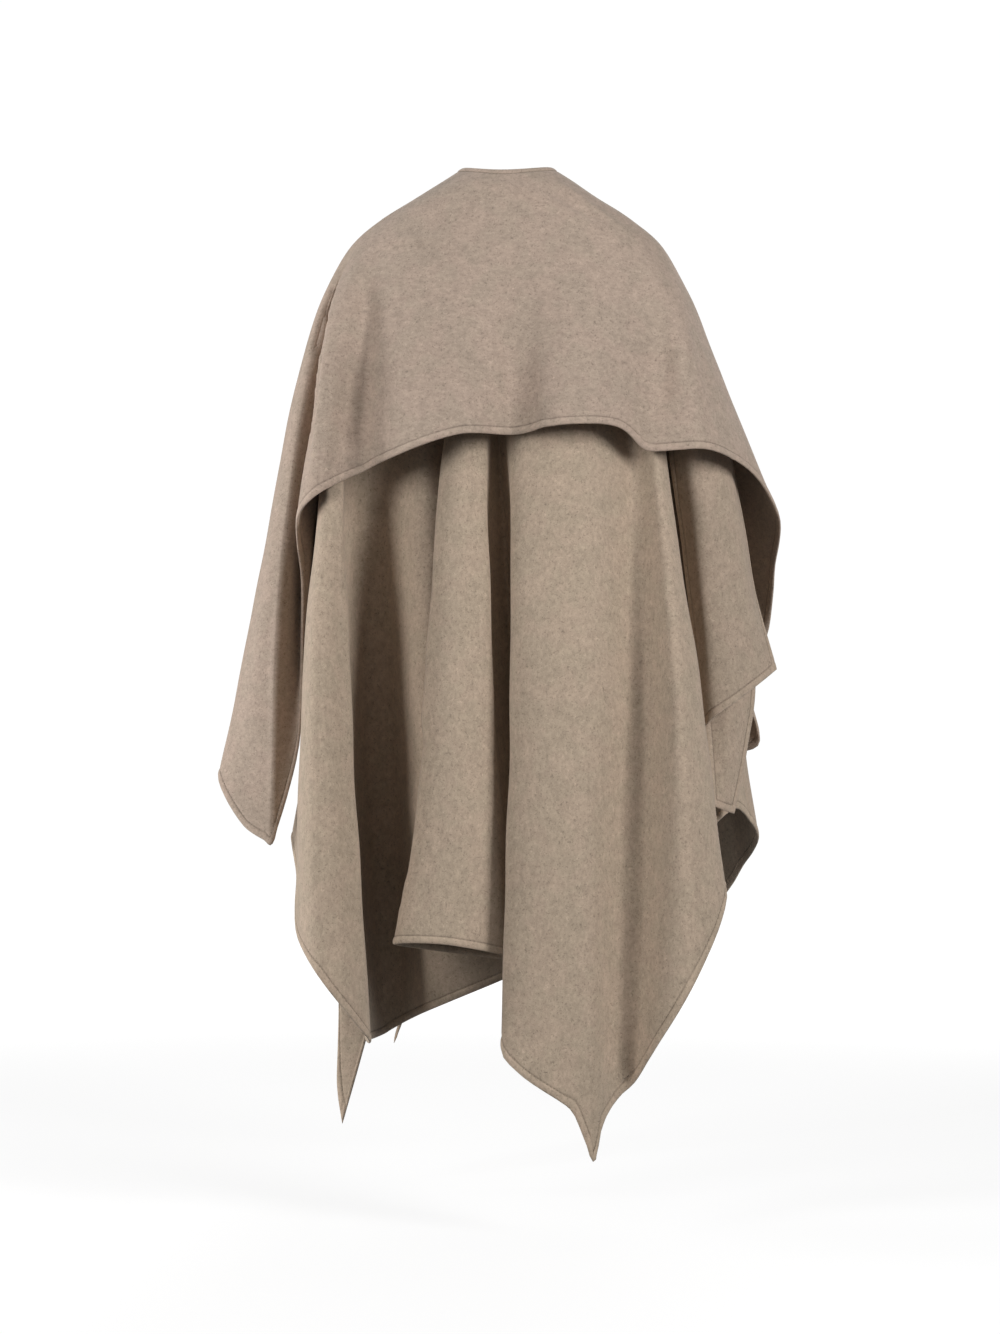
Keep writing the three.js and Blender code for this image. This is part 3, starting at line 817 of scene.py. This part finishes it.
def one_stitch():
    """A small sphere whose points and faces are always in the same order."""
    thread = bmesh.new()
    bmesh.ops.create_uvsphere(thread, u_segments=5, v_segments=4, radius=1)
    thread.verts.sort(key=lambda point: SORTING.dot(point.co))
    thread.faces.sort(key=lambda face: SORTING.dot(face.calc_center_median()))
    return thread


def sewn(name, points, sheet):
    thread = one_stitch()
    capsule = np.array([(*point.co, 1) for point in thread.verts])
    shapes = stitch_shapes(points, sheet)
    repeated(thread, len(shapes))
    for part in thread.faces:
        part.smooth = True
    mesh = bpy.data.meshes.new(name + "_stitches")
    thread.to_mesh(mesh)
    thread.free()
    mesh.vertices.foreach_set("co", (capsule @ shapes).reshape(-1).astype(np.float32))
    mesh.update()
    stitches = bpy.data.objects.new(name + "_stitches", mesh)
    bpy.context.scene.collection.objects.link(stitches)
    return stitches


def sewing_thread(name, colour):
    material = bpy.data.materials.new(name)
    material.use_nodes = True
    tree = material.node_tree
    shader = tree.nodes["Principled BSDF"]
    place = node(tree, "ShaderNodeTexCoord", {}, out="Object")
    twist = noise(tree, place, 2600.0, 2.0)
    shade = 0.8 + twist * 0.4
    plug(tree, shader.inputs["Base Color"], scaled(tree, colour, shade))
    plug(tree, shader.inputs["Roughness"], 0.7 + twist * 0.2)
    bump = node(tree, "ShaderNodeBump", {}, Strength=0.3, Distance=0.0002, Height=twist)
    plug(tree, shader.inputs["Normal"], bump)
    return material


THREAD = sewing_thread("wool_thread", (0.27, 0.21, 0.155))
STITCHES = {name: sewn(name, FINE[name], sheet) for name, sheet in SHEETS.items()}
for name, stitches in STITCHES.items():
    stitches.data.materials.append(THREAD)
    print(name, len(stitches.data.polygons) // 20, "stitches")

# %% [markdown]
# ## A white studio
# The cape hangs over white paper. Two tall soft lights stand at 45 degrees on either side of the
# camera, the right one stronger. Each deep fold hides from both, so it stays dark between bright
# crests, which a light at the camera would not do. A side light grazes the left edge, and another
# light is for views of the front. The paper glows a little, as lit paper does, but it isn't let to
# light the cape, and the same holds for the white behind it: that would fill and flatten the folds.
# %% Floor
FLOOR_Z = -1.29        # 90 mm under the longest point
PAPER_HALF = 9         # half the width of the paper, so that its edge is out of sight


def studio_floor():
    sheet = bmesh.new()
    bmesh.ops.create_grid(sheet, x_segments=2, y_segments=2, size=PAPER_HALF)
    bmesh.ops.translate(sheet, verts=sheet.verts, vec=(0, 0, FLOOR_Z))
    mesh = bpy.data.meshes.new("studio_floor")
    sheet.to_mesh(mesh)
    sheet.free()
    paper = bpy.data.objects.new("studio_floor", mesh)
    bpy.context.scene.collection.objects.link(paper)
    paper.visible_diffuse = False
    return paper


floor = studio_floor()
paper = bpy.data.materials.new("studio_paper")
paper.use_nodes = True
sheet_of_paper = paper.node_tree
paper_shader = sheet_of_paper.nodes["Principled BSDF"]
paper_shader.inputs["Base Color"].default_value = (0.28, 0.28, 0.28, 1)
paper_shader.inputs["Specular IOR Level"].default_value = 0.0
spot = node(sheet_of_paper, "ShaderNodeTexCoord", {}, out="Object")
away = node(sheet_of_paper, "ShaderNodeVectorMath", {"operation": "LENGTH"}, spot, out="Value")
# painted light: the paper's emission is 0.75 near the cape and rises further out, standing in for lamp
# light that falls off with distance
glow = blend(sheet_of_paper, 0.75 + smooth_step(away, 1.8, 4.2) * 0.4, (0, 0, 0, 1), (1, 1, 1, 1))
plug(sheet_of_paper, paper_shader.inputs["Emission Color"], glow)
paper_shader.inputs["Emission Strength"].default_value = 1.0
floor.data.materials.append(paper)


# %% [markdown]
# ## Soft lights
# Each light is an area lamp, aimed at the middle of the cape and hidden from the camera. A tall lamp
# gives each hanging fold the same soft edge of shadow from its top to its hem.
# %% Lights
def softbox(name, place, target, size, power):
    data = bpy.data.lights.new(name, "AREA")
    data.shape = "RECTANGLE"
    data.size, data.size_y = size
    data.energy = power
    lamp = bpy.data.objects.new(name, data)
    lamp.location = place
    aim = Vector(target) - Vector(place)
    lamp.rotation_euler = aim.to_track_quat("-Z", "Y").to_euler()
    lamp.visible_camera = False
    bpy.context.scene.collection.objects.link(lamp)
    return lamp


softbox("left_key", (-2.9, -2.6, 0.5), (0, 0, -0.6), (1.1, 1.9), 86)
softbox("right_key", (2.9, -2.6, 0.8), (0, 0, -0.6), (1.1, 1.9), 122)
softbox("side_left", (-2.8, 0.3, -0.5), (0, 0, -0.7), (0.6, 2.0), 52)
softbox("far_side", (0.9, 3.2, 1.3), (0, 0, -0.5), (1.8, 1.6), 45)

world = bpy.data.worlds.new("white_studio")
bpy.context.scene.world = world
world.use_nodes = True
sky = world.node_tree
seen = node(sky, "ShaderNodeLightPath", {}, out="Is Camera Ray")
sky.nodes["Background"].inputs["Color"].default_value = (1, 1, 1, 1)
plug(sky, sky.nodes["Background"].inputs["Strength"], 0.12 + seen * 0.9)
bpy.context.scene.view_settings.view_transform = "Standard"

# %% [markdown]
# ## One body for the cape
# Every piece and its stitches hang from the shoulders with the one body of the cape, and the imported
# solid that each piece was read from is hidden.
# %% Pieces on one body
for name, piece in PIECES.items():
    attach(piece, "root")
    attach(STITCHES[name], "root")
    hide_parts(name)
